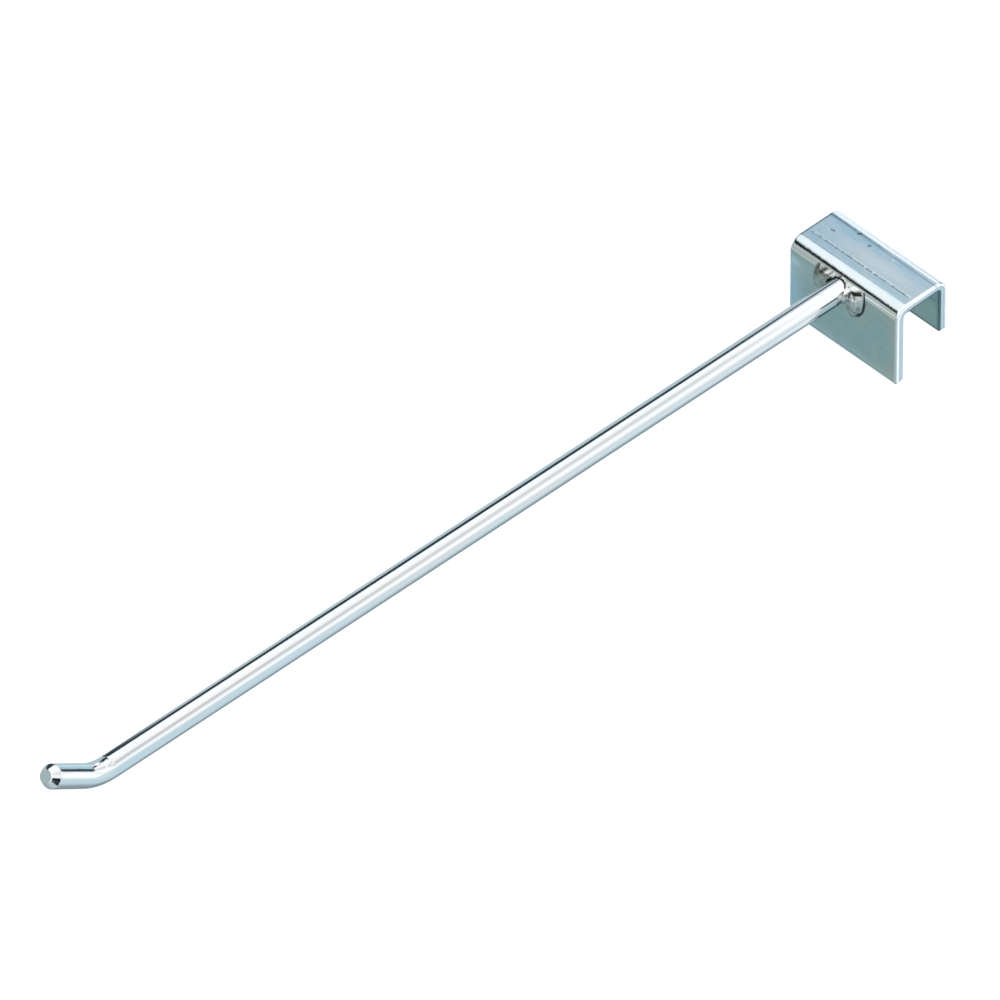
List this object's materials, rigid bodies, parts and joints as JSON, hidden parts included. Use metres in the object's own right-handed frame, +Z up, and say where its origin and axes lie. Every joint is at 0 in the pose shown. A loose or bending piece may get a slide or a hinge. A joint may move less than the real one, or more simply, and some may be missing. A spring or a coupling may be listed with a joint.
{
  "type": "display hook",
  "caption": "Welded display hook: a folded steel saddle hangs over a rectangular bar and a straight round prong with an upturned tip carries goods.",
  "frame": {"origin": "middle of the saddle's seat: the underside of its top, where it rests on the bar", "axes": "+Z up, X along the bar and the saddle's width, the prong reaches out towards -Y"},
  "size_m": [0.035, 0.2776, 0.0415],
  "materials": {
    "zinc_sheet": "bright blue-white zinc plating on rolled sheet steel",
    "zinc_rod": "bright blue-white zinc plating on drawn round steel",
    "zinc_weld": "zinc plating over rippled weld metal, duller and darker"
  },
  "bodies": {
    "root": {"saddle": "zinc_sheet", "prong": "zinc_rod", "weld_bead_left": "zinc_weld", "weld_bead_right": "zinc_weld"}
  },
  "joints": []
}
